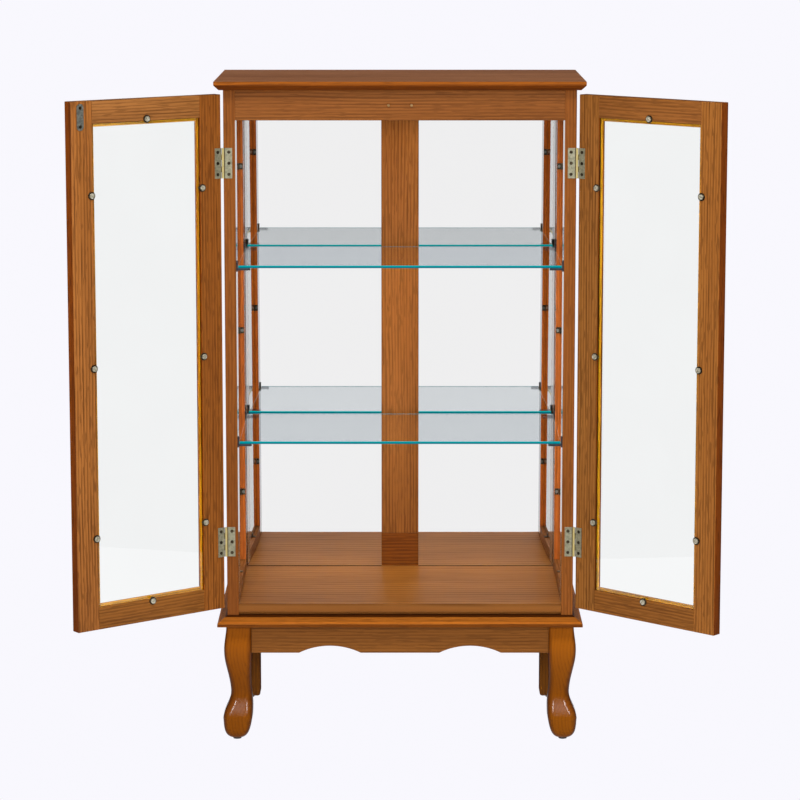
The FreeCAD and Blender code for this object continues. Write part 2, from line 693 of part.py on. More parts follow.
frame_leaf_y = ("knuckle_radius - leaf_thick", "knuckle_radius")
door_leaf_y = ("-knuckle_radius", "leaf_thick - knuckle_radius")
frame_leaves = []
hinge_pins = []
frame_screws = []
for side, flip in SIDES:
    leaf = hinge_leaf(f"frame_leaf_{side}", frame_leaf_y, range(0, KNUCKLES, 2), flip)
    axis_x = HINGE_X if flip else f"-{HINGE_X}"
    for bottom in HINGE_BOTTOMS.values():
        foot = (axis_x, HINGE_Y, bottom)
        frame_leaves.append(copy(leaf, foot))
        hinge_pins.append(rod("hinge_pin", "pin_radius", "leaf_height", foot, Z_AXIS))
    for index, height in enumerate(HINGE_SCREW_HEIGHTS):
        seat = mirror_point((f"-{HINGE_X} + leaf_screw_place", f"{FACE} - leaf_thick", height), flip)
        frame_screws.append(copy(small_screw, seat, FreeCAD.Rotation(Y_AXIS, -Y_AXIS) * screw_turn(index)))
keep(group("frame_leaf_group", frame_leaves), "hinge_frame_leaves")
keep(group("hinge_pin_group", hinge_pins), "hinge_pins")
keep(group("frame_screw_group", frame_screws), "hinge_frame_screws")


# Glass clip on a door: a round disc on the wood with a pad that reaches the pane
clip_disc = rod("clip_disc", "clip_radius", "clip_thick", ("0", "0", "0"), Y_AXIS)
clip_pad = rod("clip_pad", "clip_pad_radius", "door_rabbet - glass_thick",
               ("clip_pad_offset", "0", "0"), -Y_AXIS)
clip_hole = rod("clip_hole", PILOT_RADIUS, "clip_thick + 2 * overrun", ("0", "-overrun", "0"), Y_AXIS)
glass_clip = cut("glass_clip", fuse("clip_blank", [clip_disc, clip_pad]), [clip_hole])


# Doors: built closed about the hinge axis, then swung open
DOOR_FACE_Y = "(-knuckle_radius)"
DOOR_LIP_Y = "(-knuckle_radius - door_rabbet)"
DOOR_STEP_Y = f"({DOOR_LIP_Y} - door_lip_thick)"
DOOR_OUTER_Y = "(-knuckle_radius - door_thick)"
DOOR_MIDDLE_X = f"((hinge_edge_gap + hinge_stile + {DOOR_FREE} - free_stile) / 2)"
DOOR_MIDDLE_Z = f"(({DOOR_BOTTOM} + {DOOR_TOP}) / 2)"
HINGE_CLIP_X = "(hinge_edge_gap + hinge_stile - clip_offset)"
FREE_CLIP_X = f"({DOOR_FREE} - free_stile + clip_offset)"
CLIP_PLACES = [("first", HINGE_CLIP_X, f"{DOOR_MIDDLE_Z} + {k} * clip_pitch", X_AXIS) for k in ROWS]
CLIP_PLACES += [("last", FREE_CLIP_X, f"{DOOR_MIDDLE_Z} + {k} * clip_pitch", -X_AXIS) for k in ROWS]
CLIP_PLACES += [
    ("bottom", DOOR_MIDDLE_X, f"{DOOR_BOTTOM} + door_rail - clip_offset", Z_AXIS),
    ("top", DOOR_MIDDLE_X, f"{DOOR_TOP} - door_rail + clip_offset", -Z_AXIS),
]
STRIKE_X = f"({DOOR_FREE} - strike_inset)"
STRIKE_SCREWS = [(STRIKE_X, f"{STRIKE_Z} + {sign} * strike_screw_pitch") for sign in (-1, 1)]


def swing(piece, side, flip):
    """Hang a closed door's piece on its hinge axis and turn it to the open angle."""
    axis_x = HINGE_X if flip else f"-{HINGE_X}"
    place(piece, (axis_x, HINGE_Y, "0"), FreeCAD.Rotation(Z_AXIS if flip else -Z_AXIS, 1))
    bind(piece, "Placement.Rotation.Angle", f"{side}_open_angle")
    return piece


def door(side, flip):
    clips = []
    clip_screws = []
    holes = {member: [] for member in ("first", "last", "bottom", "top")}
    for index, (member, x, z, toward) in enumerate(CLIP_PLACES):
        spot = mirror_point((x, DOOR_FACE_Y, z), flip)
        toward_pane = FreeCAD.Vector(-toward.x if flip else toward.x, toward.y, toward.z)
        clips.append(copy(glass_clip, spot, turn_to(toward_pane, Y_AXIS)))
        head_seat = moved(spot, (Y_AXIS, "clip_thick"))
        clip_screws.append(copy(clip_screw, head_seat, screw_turn(index)))
        holes[member].append(pilot(f"clip_pilot_{side}_{index}", spot, -Y_AXIS))
    hinge_screws = []
    for index, height in enumerate(HINGE_SCREW_HEIGHTS):
        spot = mirror_point(("leaf_screw_place", DOOR_FACE_Y, height), flip)
        holes["first"].append(pilot(f"leaf_pilot_{side}_{index}", spot, -Y_AXIS))
        head_seat = moved(spot, (Y_AXIS, "leaf_thick"))
        hinge_screws.append(copy(small_screw, head_seat, screw_turn(index)))
    leaf = hinge_leaf(f"door_leaf_{side}", door_leaf_y, range(1, KNUCKLES, 2), flip)
    leaves = [copy(leaf, ("0", "0", bottom)) for bottom in HINGE_BOTTOMS.values()]
    pieces = [
        keep(group(f"{side}_clip_group", clips), f"{side}_glass_clips"),
        keep(group(f"{side}_clip_screw_group", clip_screws), f"{side}_clip_screws"),
        keep(group(f"{side}_hinge_screw_group", hinge_screws), f"{side}_hinge_screws"),
        keep(group(f"{side}_leaf_group", leaves), f"{side}_hinge_leaves"),
    ]
    if side == "left":
        plate_drills = []
        strike_screws = []
        for index, (x, z) in enumerate(STRIKE_SCREWS):
            spot = (x, DOOR_FACE_Y, z)
            holes["last"].append(pilot(f"strike_pilot_{index}", spot, -Y_AXIS))
            drill_start = moved(spot, (-Y_AXIS, "overrun"))
            plate_drills.append(rod(f"strike_hole_{index}", LEAF_HOLE_RADIUS, "strike_thick + 2 * overrun",
                                    drill_start, Y_AXIS))
            head_seat = moved(spot, (Y_AXIS, "strike_thick"))
            strike_screws.append(copy(small_screw, head_seat, screw_turn(index)))
        straight = "(strike_height - strike_width)"
        plate = [block("strike_middle", around(STRIKE_X, "strike_width"), onward(DOOR_FACE_Y, "strike_thick"),
                       around(STRIKE_Z, straight))]
        for sign in (-1, 1):
            end = (STRIKE_X, DOOR_FACE_Y, f"{STRIKE_Z} + {sign} * {straight} / 2")
            plate.append(rod("strike_end", "strike_width / 2", "strike_thick", end, Y_AXIS))
        strike_blank = fuse("strike_blank", plate)
        pieces.append(keep(cut("strike_drilled", strike_blank, plate_drills), "left_strike_plate"))
        pieces.append(keep(group("strike_screw_group", strike_screws), "left_strike_screws"))
    names = {
        "first": f"{side}_hinge_stile", "last": f"{side}_free_stile",
        "bottom": f"{side}_bottom_rail", "top": f"{side}_top_rail",
    }
    members, pane_run, pane_rise = rabbeted_frame(
        names, ("hinge_edge_gap", DOOR_FREE), (DOOR_BOTTOM, DOOR_TOP),
        face=(DOOR_LIP_Y, DOOR_FACE_Y), lip=(DOOR_STEP_Y, DOOR_LIP_Y), outer=(DOOR_OUTER_Y, DOOR_STEP_Y),
        widths=("hinge_stile", "free_stile", "door_rail", "door_rail"),
        along_x=True, flip=flip, holes=holes)
    pane = block(f"{side}_pane", pane_run, onward(DOOR_LIP_Y, "glass_thick"), pane_rise, flip)
    pieces += members + [keep(group(f"{side}_pane_group", [pane]), f"{side}_glass")]
    for piece in pieces:
        swing(piece, side, flip)


for side, flip in SIDES:
    door(side, flip)


# Check every object, then write each piece
doc.recompute()
failed = [item.Label for item in doc.Objects if {"Invalid", "Error"} & set(item.State)]
failed += [piece.Label for piece in nodes if piece.Shape.isNull() or not piece.Shape.isValid()]
if failed:
    raise RuntimeError(f"these objects failed: {failed}")
labels = [piece.Label for piece in nodes]
if len(set(labels)) != len(labels):
    raise RuntimeError("two pieces share a name")
os.makedirs("parts", exist_ok=True)
for piece in nodes:
    piece.Shape.exportStep(os.path.join("parts", f"{piece.Label}.step"))
print(f"{len(nodes)} pieces written")
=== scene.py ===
# %% [markdown]
# # A stained curio cabinet, dressed in Blender
# The cabinet is a shallow wooden case on short legs, with a mirrored back, two glass shelves and two
# glazed doors that stand open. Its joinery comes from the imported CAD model, so this lesson starts from
# those solids and adds what they lack: finishes, eased edges, the faint bow of the mirrors, and light.

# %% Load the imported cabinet
import bpy
import bmesh
import json
import math
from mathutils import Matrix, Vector


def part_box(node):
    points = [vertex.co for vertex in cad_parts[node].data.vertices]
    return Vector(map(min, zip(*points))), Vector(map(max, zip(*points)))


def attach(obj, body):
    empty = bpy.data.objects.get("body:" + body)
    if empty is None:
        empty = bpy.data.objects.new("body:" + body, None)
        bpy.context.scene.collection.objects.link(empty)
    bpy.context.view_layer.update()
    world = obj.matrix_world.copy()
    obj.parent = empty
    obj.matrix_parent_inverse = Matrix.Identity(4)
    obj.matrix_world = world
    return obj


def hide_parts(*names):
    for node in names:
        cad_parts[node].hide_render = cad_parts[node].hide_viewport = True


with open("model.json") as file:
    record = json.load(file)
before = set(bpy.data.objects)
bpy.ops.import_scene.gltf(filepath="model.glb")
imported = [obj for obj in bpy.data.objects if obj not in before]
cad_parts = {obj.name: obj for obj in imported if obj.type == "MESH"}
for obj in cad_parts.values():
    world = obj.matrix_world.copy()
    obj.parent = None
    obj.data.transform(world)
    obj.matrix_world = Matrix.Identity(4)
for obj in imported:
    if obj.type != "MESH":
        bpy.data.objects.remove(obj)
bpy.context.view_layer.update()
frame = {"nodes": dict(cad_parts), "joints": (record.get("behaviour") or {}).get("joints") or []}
nodes = frame["nodes"]

# %% [markdown]
# The picture was taken from in front, from a little above the cabinet's top, with a long lens. A level
# camera with a large shift would keep the uprights exactly parallel, but every other view would inherit
# that shift. So this camera looks down, keeps a small shift, and stands a little further off, where the
# corners of the case and of the doors fall nearest to their places in the picture.

# %% Camera
CAMERA_PLACE = (0.0, -4.754, 1.332)
CAMERA_DOWN = math.radians(8.64)
CAMERA_LENS = 136.05
CAMERA_SHIFT = -0.07
SENSOR_WIDTH = 36.0
SIGHT_LIMIT = 200.0

scene = bpy.context.scene
camera_data = bpy.data.cameras.new("camera")
camera_data.sensor_width = SENSOR_WIDTH
camera_data.lens = CAMERA_LENS
camera_data.shift_y = CAMERA_SHIFT
camera_data.clip_end = SIGHT_LIMIT
camera = bpy.data.objects.new("camera", camera_data)
camera.location = CAMERA_PLACE
camera.rotation_euler = (math.pi / 2 - CAMERA_DOWN, 0.0, 0.0)
scene.collection.objects.link(camera)
scene.camera = camera
scene.view_settings.view_transform = "Standard"
print("camera looks down by", round(math.degrees(CAMERA_DOWN), 2), "degrees")

# %% [markdown]
# Every finish below is a small tree of shader nodes. A few short helpers keep those trees readable. They
# feed a socket from a value or from another node, make one node, a sum or a ramp, mix two colours, and
# start a material.

# %% Helpers for shader nodes
BLACK = (0.0, 0.0, 0.0, 1.0)


def feed(socket, value):
    """Links a socket to another node's output, or sets it to a plain value."""
    if isinstance(value, bpy.types.NodeSocket):
        socket.id_data.links.new(value, socket)
    else:
        socket.default_value = value


def node(tree, kind, inputs=None, out=0, **settings):
    """Makes one shader node, fills its inputs and returns one of its outputs."""
    made = tree.nodes.new("ShaderNode" + kind)
    for name, value in settings.items():
        setattr(made, name, value)
    for name, value in (inputs or {}).items():
        feed(made.inputs[name], value)
    return made.outputs[out]


def sums(tree, operation, first, second=0.0):
    """One Math node."""
    return node(tree, "Math", {0: first, 1: second}, operation=operation)


def ramp(tree, factor, *stops):
    """A colour ramp through (place, colour) stops; a plain number stands for a grey."""
    made = tree.nodes.new("ShaderNodeValToRGB")
    band = made.color_ramp
    while len(band.elements) < len(stops):
        band.elements.new(0.5)
    for element, (place, shade) in zip(band.elements, stops):
        element.position = place
        grey = isinstance(shade, (int, float))
        element.color = (shade,) * 3 + (1.0,) if grey else (*shade, 1.0)
    feed(made.inputs[0], factor)
    return made.outputs[0]


def blend(tree, factor, first, second, how="MIX"):
    """Mixes two colours."""
    made = tree.nodes.new("ShaderNodeMix")
    made.data_type = "RGBA"
    made.blend_type = how
    for index, value in ((0, factor), (6, first), (7, second)):
        feed(made.inputs[index], value)
    return made.outputs[2]


def spread(tree, low, high, factor):
    """Takes a factor of 0 to 1 to a number between low and high."""
    return node(tree, "MapRange", {0: factor, 3: low, 4: high})


def dot(tree, first, second):
    """How far one direction runs along another."""
    return node(tree, "VectorMath", {0: first, 1: second}, out="Value", operation="DOT_PRODUCT")


def cloudy(tree, place, scale, detail, **settings):
    """Even noise at a place."""
    return node(tree, "TexNoise", {"Vector": place, "Scale": scale, "Detail": detail, **settings})


def start_material(name):
    """A new material with its tree and its Principled shader."""
    material = bpy.data.materials.new(name)
    material.use_nodes = True
    tree = material.node_tree
    return material, tree, tree.nodes["Principled BSDF"]


# %% [markdown]
# The background of the picture is an even, faintly bluish white without any shadow. Here that is one
# wide floor that gives off its own light and fills the camera's whole view. It stays out of the light
# that bounces onto the cabinet, because undersides are dark on the real one.

# %% Floor
FLOOR_SPAN = 70.0
FLOOR_WHITE = (0.955, 0.947, 1.0)
FLOOR_GLOW = 0.990


def glowing_paint(name, shade, strength):
    """A paint that gives off an even light and does nothing else."""
    paint, tree, shader = start_material(name)
    feed(shader.inputs["Base Color"], BLACK)
    feed(shader.inputs["Roughness"], 1.0)
    feed(shader.inputs["Specular IOR Level"], 0.0)
    feed(shader.inputs["Emission Color"], (*shade, 1.0))
    feed(shader.inputs["Emission Strength"], strength)
    return paint


def flat_quad(name, corners, material, hidden_from):
    """A flat sheet with four corners that some kinds of rays don't meet."""
    mesh = bpy.data.meshes.new(name)
    mesh.from_pydata(corners, [], [(0, 1, 2, 3)])
    mesh.materials.append(material)
    held = bpy.data.objects.new(name, mesh)
    scene.collection.objects.link(held)
    for rays in hidden_from:
        setattr(held, "visible_" + rays, False)
    return held


span = FLOOR_SPAN
floor_corners = [(-span, -span, 0), (span, -span, 0), (span, span, 0), (-span, span, 0)]
paper = glowing_paint("studio_paper", FLOOR_WHITE, FLOOR_GLOW)
floor = flat_quad("studio_floor", floor_corners, paper, ["diffuse"])
print("floor spans", 2 * FLOOR_SPAN, "m")

# %% [markdown]
# The light is soft and comes from in front, from close to the camera, so it reaches the back of the
# case and leaves the outer edges of the doors dark. That lamp doesn't show in glass or lacquer. A second
# one overhead lights the mouldings, two small ones at the sides only draw highlights, on the lacquered
# feet above all, and one behind shows the back to whoever walks round.

# %% Lamps
# Each lamp has its place, the point that it faces, its width and height in metres, and its power.
LAMPS = {
    "front_softbox": ((0.0, -3.7, 1.25), (0.0, 0.0, 0.6), (1.5, 0.9), 94.0),
    "high_softbox": ((0.0, -2.2, 3.2), (0.0, -0.1, 0.4), (2.2, 0.9), 55.0),
    "rear_softbox": ((0.0, 3.6, 1.2), (0.0, 0.1, 0.55), (2.4, 1.4), 70.0),
    "left_kicker": ((-1.0, -2.6, 1.75), (0.0, -0.1, 0.1), (0.30, 0.45), 20.0),
    "right_kicker": ((1.0, -2.6, 1.75), (0.0, -0.1, 0.1), (0.30, 0.45), 20.0),
}
LAMPS_HIDDEN_FROM = {
    "front_softbox": ("glossy", "transmission"),
    "rear_softbox": ("glossy", "transmission"),
    "left_kicker": ("diffuse",),
    "right_kicker": ("diffuse",),
}


def softbox(name, place, target, size, power):
    """A rectangular lamp that faces a point."""
    lamp = bpy.data.lights.new(name, "AREA")
    lamp.shape = "RECTANGLE"
    lamp.size, lamp.size_y = size
    lamp.energy = power
    held = bpy.data.objects.new(name, lamp)
    held.location = place
    facing = Vector(target) - Vector(place)
    held.rotation_euler = facing.to_track_quat("-Z", "Y").to_euler()
    scene.collection.objects.link(held)
    return held


for name, settings in LAMPS.items():
    lamp = softbox(name, *settings)
    for rays in LAMPS_HIDDEN_FROM.get(name, ()):
        setattr(lamp, "visible_" + rays, False)
print("lamps:", list(LAMPS))

# %% [markdown]
# A grey world fills in what the lamps leave dark, and is darker still in reflections, so that the lacquer
# stays deep. What is seen of it directly, or through glass, stays as white as the floor.

# %% World
WORLD_GREY = 0.30
WORLD_IN_LACQUER = 0.10
WORLD_SEEN = 0.99

world = bpy.data.worlds.new("studio")
world.use_nodes = True
scene.world = world
tree = world.node_tree
sky = tree.nodes["Background"]
seen = node(tree, "LightPath", out="Is Camera Ray")
through = node(tree, "LightPath", out="Is Transmission Ray")
direct = sums(tree, "MAXIMUM", seen, through)
mirrored = node(tree, "LightPath", out="Is Glossy Ray")
around = spread(tree, WORLD_GREY, WORLD_IN_LACQUER, mirrored)
feed(sky.inputs["Color"], (*FLOOR_WHITE, 1.0))
feed(sky.inputs["Strength"], spread(tree, around, WORLD_SEEN, direct))
print("world:", WORLD_GREY, "in reflections:", WORLD_IN_LACQUER)

# %% [markdown]
# A studio keeps side faces rich by standing black cards beside the object, just out of the picture. Here
# they exist only for reflections: nothing else sees them, so they darken the lacquer and not the room.
# A third one lies on the floor behind the case, where the mirrors never look, and keeps the rims of the
# legs from turning pale.

# %% Black cards
CARD_DISTANCE = 1.0
CARD_HEIGHT = 1.6
CARD_FRONT = -1.4
CARD_REAR = 1.6
CARD_LYING_FRONT = 0.15
CARD_LYING_HALF = 1.2
CARD_LYING_HEIGHT = 0.0005
CARD_SHADE = (0.02, 0.02, 0.02, 1.0)
REFLECTED_ONLY = ("camera", "diffuse", "transmission", "shadow")


def studio_sheet(name, corners, material):
    """A flat sheet that only reflections see."""
    held = flat_quad(name, corners, material, REFLECTED_ONLY)


card_black, tree, shader = start_material("card_black")
feed(shader.inputs["Base Color"], CARD_SHADE)
feed(shader.inputs["Roughness"], 1.0)
near, far, high = CARD_FRONT, CARD_REAR, CARD_HEIGHT
for name, x in (("card_left", -CARD_DISTANCE), ("card_right", CARD_DISTANCE)):
    studio_sheet(name, [(x, near, 0), (x, far, 0), (x, far, high), (x, near, high)], card_black)
near, half, level = CARD_LYING_FRONT, CARD_LYING_HALF, CARD_LYING_HEIGHT
lying = [(-half, near, level), (half, near, level), (half, far, level), (-half, far, level)]
studio_sheet("card_floor", lying, card_black)
print("black cards stand", CARD_DISTANCE, "m to each side, and one lies behind")

# %% [markdown]
# Glass that is seen at a glancing angle is half a mirror. The shelves send the view up, off the mirrors
# and out over the photographer's head, so a pale wall stands there. Its lower part is darker: that part
# shows in the mirrored image of the upper shelf. The wall exists for reflections only.

# %% Pale wall
WALL_DISTANCE = 6.5
WALL_HALF = 1.0
WALL_FOOT = 1.2
WALL_SPLIT = 1.539
WALL_HEAD = 2.3
WALL_GLOW = 1.0
WALL_PARTS = {
    "wall_upper": ((0.42, 0.45, 0.51), WALL_SPLIT, WALL_HEAD),
    "wall_lower": ((0.32, 0.34, 0.37), WALL_FOOT, WALL_SPLIT),
}

y, half = -WALL_DISTANCE, WALL_HALF
for name, (shade, low, high) in WALL_PARTS.items():
    paint = glowing_paint(name + "_paint", shade, WALL_GLOW)
    studio_sheet(name, [(-half, y, low), (half, y, low), (half, y, high), (-half, y, high)], paint)
print("pale wall", WALL_DISTANCE, "m away")

# %% [markdown]
# The wood is a ring-porous one, and its grain is made from the cabinet's own coordinates, in metres,
# turned until the grain runs along X. Noise that is drawn out along X makes three things: the slow waver
# of the growth rings, the streaks within them, and the fine dashes of the pores. Each stick is cut from
# another lot, so its own random number shifts the pattern.

# %% Grain
LOT_SHIFT = (3.7, 1.9, 2.3)
RINGS_PER_METRE = 230.0
RING_SLANT = 0.85
RING_WAVER = 0.014
SLOW_NOISE = (1.6, 12.0)
STREAK_NOISE = (10.0, 480.0)
STREAK_STOPS = ((0.36, 1.0), (0.60, 0.0))
PORE_NOISE = (38.0, 620.0)
PORE_STOPS = ((0.36, 1.0), (0.47, 0.0))


def grain_space(tree, place, turn):
    """A place in the wood, turned until the grain runs along X, and shifted by the stick's lot."""
    lot = node(tree, "ObjectInfo", out="Random")
    shifts = {axis: sums(tree, "MULTIPLY", lot, reach) for axis, reach in enumerate(LOT_SHIFT)}
    shift = node(tree, "CombineXYZ", shifts)
    return node(tree, "Mapping", {"Vector": place, "Rotation": turn, "Location": shift})


def stretched_noise(tree, grain, scales, detail, fine=1.0):
    """Noise drawn out along the grain; scales are those along it and across it."""
    along, across = scales
    scale = (along, across * fine, across * fine)
    space = node(tree, "Mapping", {"Vector": grain, "Scale": scale})
    return cloudy(tree, space, 1.0, detail)


def growth_rings(tree, grain, fine):
    """The ring's phase, 0 to 1, across the grain, wavering slowly along it."""
    waver = stretched_noise(tree, grain, SLOW_NOISE, 2.0)
    parts = tree.nodes.new("ShaderNodeSeparateXYZ")
    feed(parts.inputs[0], grain)
    slanted = sums(tree, "MULTIPLY", parts.outputs[2], RING_SLANT)
    across = sums(tree, "ADD", parts.outputs[1], slanted)
    bent = sums(tree, "ADD", across, sums(tree, "MULTIPLY", waver, RING_WAVER))
    return sums(tree, "FRACT", sums(tree, "MULTIPLY", bent, RINGS_PER_METRE * fine))


def streaks_and_pores(tree, grain, fine):
    """Two masks: the streaks within the rings, and the fine dashes of the pores."""
    streaks = ramp(tree, stretched_noise(tree, grain, STREAK_NOISE, 2.0, fine), *STREAK_STOPS)
    pores = ramp(tree, stretched_noise(tree, grain, PORE_NOISE, 1.0, fine), *PORE_STOPS)
    return streaks, pores


print("grain:", RINGS_PER_METRE, "rings in a metre")

# %% [markdown]
# One stick isn't toned evenly, so a finish can carry further tints, each with a rule that says where it
# goes. The rules look at the direction of the face, at one plane, or at the height above the floor. Most
# of these tints are painted light and shade: painted shadows in grooves and under bevels, painted shade
# on faces turned away from the lamps, and painted light and highlights where faces catch it.

# %% Masks for tints
FACING_LIMIT = 0.8
PLANE_REACH = 0.0004
TURNS = {"turned": (1, 0, 0), "upturned": (0, 0, 1)}


def facing_mask(tree, way, limit=FACING_LIMIT):
    """1 on surfaces that face along a direction, else 0."""
    facing = node(tree, "TexCoord", out="Normal")
    return sums(tree, "GREATER_THAN", dot(tree, facing, way), limit)


def plane_mask(tree, place, point, normal):
    """1 on the plane through point that faces along normal, else 0."""
    away = node(tree, "VectorMath", {0: place, 1: point}, operation="SUBTRACT")
    depth = sums(tree, "ABSOLUTE", dot(tree, away, normal))
    level = sums(tree, "LESS_THAN", depth, PLANE_REACH)
    return sums(tree, "MULTIPLY", level, facing_mask(tree, normal))


def height_of(tree, place):
    """The height of a point above the floor."""
    parts = tree.nodes.new("ShaderNodeSeparateXYZ")
    feed(parts.inputs[0], place)
    return parts.outputs[2]


def turn_mask(tree, kind, low, high):
    """0 to 1 as a surface turns to either side, or upwards."""
    facing = node(tree, "TexCoord", out="Normal")
    share = dot(tree, facing, TURNS[kind])
    if kind == "turned":
        share = sums(tree, "ABSOLUTE", share)
    return node(tree, "MapRange", {0: share, 1: low, 2: high})


def shade_mask(tree, place, rule):
    """Where a second tint goes: faces that look one way or sideways, faces that turn to the sides or
    upwards, one plane, a band between two heights, or a fade between them."""
    kind, *values = rule
    if kind == "faces":
        return facing_mask(tree, *values)
    if kind == "plane":
        return plane_mask(tree, place, *values)
    if kind == "sideways":
        return sums(tree, "MAXIMUM", facing_mask(tree, (1, 0, 0)), facing_mask(tree, (-1, 0, 0)))
    low, high = values
    if kind in TURNS:
        return turn_mask(tree, kind, low, high)
    height = height_of(tree, place)
    if kind == "band":
        above = sums(tree, "GREATER_THAN", height, low)
        return sums(tree, "MULTIPLY", above, sums(tree, "LESS_THAN", height, high))
    return node(tree, "MapRange", {0: height, 1: low, 2: high})


print("tints can follow:", ["faces", "plane", "sideways", *TURNS, "band", "fade"])

# %% [markdown]
# The finish itself is a warm brown stain under a satin lacquer. Its tone drifts slowly along a stick. It
# darkens the early wood of each ring and the pores, which also lie a little deeper than the rest. Where
# a face is polished, a clear coat lies over it.

# %% Stained wood
WOOD_LIGHT = (0.425, 0.150, 0.0310)
WOOD_MID = (0.315, 0.102, 0.0195)
WOOD_DARK = (0.095, 0.027, 0.0050)
DRIFT_STOPS = ((0.3, WOOD_MID), (0.7, WOOD_LIGHT))
RING_STOPS = ((0.0, 1.0), (0.35, 0.35), (0.7, 0.0), (1.0, 1.0))
RING_FAINT = 0.28
RING_STRONG = 0.85
PORE_DARKNESS = 0.50
STREAK_DEPTH = 0.5
SATIN = (0.40, 0.60)
SATIN_SHINE = 0.07
GRAIN_RELIEF = {"Strength": 0.2, "Distance": 0.0003}


def stained_wood(name, turn, stain, rough=SATIN, shine=SATIN_SHINE, shades=(), gloss=None,
                 depth=1.0, fine=1.0, porous=1.0):
    """The stained wood with its grain along one direction. turn brings that direction to X, stain tints
    the wood, shades are (rule, tint) pairs that tint some of it once more, gloss is (rule, weight,
    roughness) of a polished coat. depth makes the grain stronger, fine makes it closer, and porous says
    how much of the pores still shows through the lacquer."""
    material, tree, shader = start_material(name)
    place = node(tree, "TexCoord", out="Object")
    grain = grain_space(tree, place, turn)
    streaks, pores = streaks_and_pores(tree, grain, fine)
    early = ramp(tree, growth_rings(tree, grain, fine), *RING_STOPS)
    strength = spread(tree, RING_FAINT * depth, RING_STRONG * depth, streaks)
    ringed = sums(tree, "MULTIPLY", early, strength)
    dotted = sums(tree, "MULTIPLY", pores, PORE_DARKNESS * depth * porous)
    darkness = sums(tree, "MAXIMUM", ringed, dotted)
    body = ramp(tree, stretched_noise(tree, grain, SLOW_NOISE, 2.0), *DRIFT_STOPS)
    colour = blend(tree, darkness, body, (*WOOD_DARK, 1.0))
    colour = blend(tree, 1.0, colour, (*stain, 1.0), "MULTIPLY")
    for rule, tint in shades:
        tinted = blend(tree, 1.0, colour, (*tint, 1.0), "MULTIPLY")
        colour = blend(tree, shade_mask(tree, place, rule), colour, tinted)
    feed(shader.inputs["Base Color"], colour)
    feed(shader.inputs["Roughness"], spread(tree, *rough, darkness))
    feed(shader.inputs["Specular IOR Level"], shine)
    if gloss:
        rule, weight, smooth = gloss
        coat = sums(tree, "MULTIPLY", shade_mask(tree, place, rule), weight)
        feed(shader.inputs["Coat Weight"], coat)
        feed(shader.inputs["Coat Roughness"], smooth)
    sunk = sums(tree, "MAXIMUM", pores, sums(tree, "MULTIPLY", streaks, STREAK_DEPTH))
    relief = node(tree, "Bump", {**GRAIN_RELIEF, "Height": sunk}, invert=True)
    feed(shader.inputs["Normal"], relief)
    return material


print("wood shades:", WOOD_LIGHT, WOOD_MID, WOOD_DARK)

# %% [markdown]
# The doors stand open at rest, so their rails run at an angle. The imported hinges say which: each range
# starts at the shut door, so the lowest value is how far the door has swung. The seat of each pane lies
# a fixed depth outside the axis of its hinge.

# %% Directions of the doors
SEAT_DEPTH = 0.008
TOWARDS = {"left": 1, "right": -1}
hinges = {joint["child"]: joint for joint in frame["joints"]}
door_along = {}
door_turn = {}
door_seat = {}

# towards is +1 where the shut door reaches from its hinge to +X, and -1 where it reaches to -X.
for side, towards in TOWARDS.items():
    hinge = hinges[side + "_door"]
    swing = math.radians(-hinge["range_deg"][0])
    along = Vector((towards * math.cos(swing), -math.sin(swing), 0.0))
    inward = Vector((towards * math.sin(swing), math.cos(swing), 0.0))
    seat = Vector(hinge["pos_m"]) - SEAT_DEPTH * inward
    door_along[side] = tuple(along)
    door_turn[side] = math.atan2(along.y, along.x)
    door_seat[side] = (tuple(seat), tuple(inward))
    print(side, "door: rails run at", round(math.degrees(door_turn[side]), 1), "degrees")

# %% [markdown]
# Now each stick takes a finish whose grain runs along it. Posts and stiles stand upright, rails and
# boards run across, and the side frames run from front to back. Their stains differ from stick to stick,
# and part of that difference is painted light and shade. The sides of the posts are polished. The faces
# of the front posts that look to the back, the front faces of the rear posts and the upper part of the
# strip are tinted paler as painted light, and the foot rail under the strip is stained much darker.

# %% Wood on the case
QUARTER = math.pi / 2
UPRIGHT = (0.0, QUARTER, 0.0)
CROSSWISE = (0.0, 0.0, 0.0)
SIDEWAYS = (0.0, 0.0, -QUARTER)
FRONT = (0.0, -1.0, 0.0)
REARWARD = (0.0, 1.0, 0.0)
POLISHED = (("sideways",), 1.0, 0.06)
STRIP_PAINTED_LIGHT = ("fade", 0.36, 0.92)


def dress(material, *names):
    """Gives CAD nodes one finish."""
    for name in names:
        nodes[name].material_slots[0].material = material
    return len(names)


def sides(*names):
    """The left and the right one of each name."""
    return [f"{name}_{side}" for name in names for side in TOWARDS]


def finish_sticks(name, turn, stain, sticks, **options):
    """Makes one wood finish and gives it to the sticks that share it."""
    print(name, dress(stained_wood("stained_wood_" + name, turn, stain, **options), *sticks))


# Painted light: the faces of the front posts that look to the back are tinted paler.
finish_sticks(
    "front_posts", UPRIGHT, (0.71, 0.63, 0.51), sides("front_post"), gloss=POLISHED, depth=0.8,
    shades=[(("faces", REARWARD), (2.8, 2.1, 1.55))],
)
# Painted light: the front faces of the rear posts are tinted paler.
finish_sticks(
    "rear_posts", UPRIGHT, (0.80, 0.80, 0.80), sides("rear_post"), gloss=POLISHED,
    shades=[(("faces", FRONT), (1.7, 1.2, 0.9))],
)
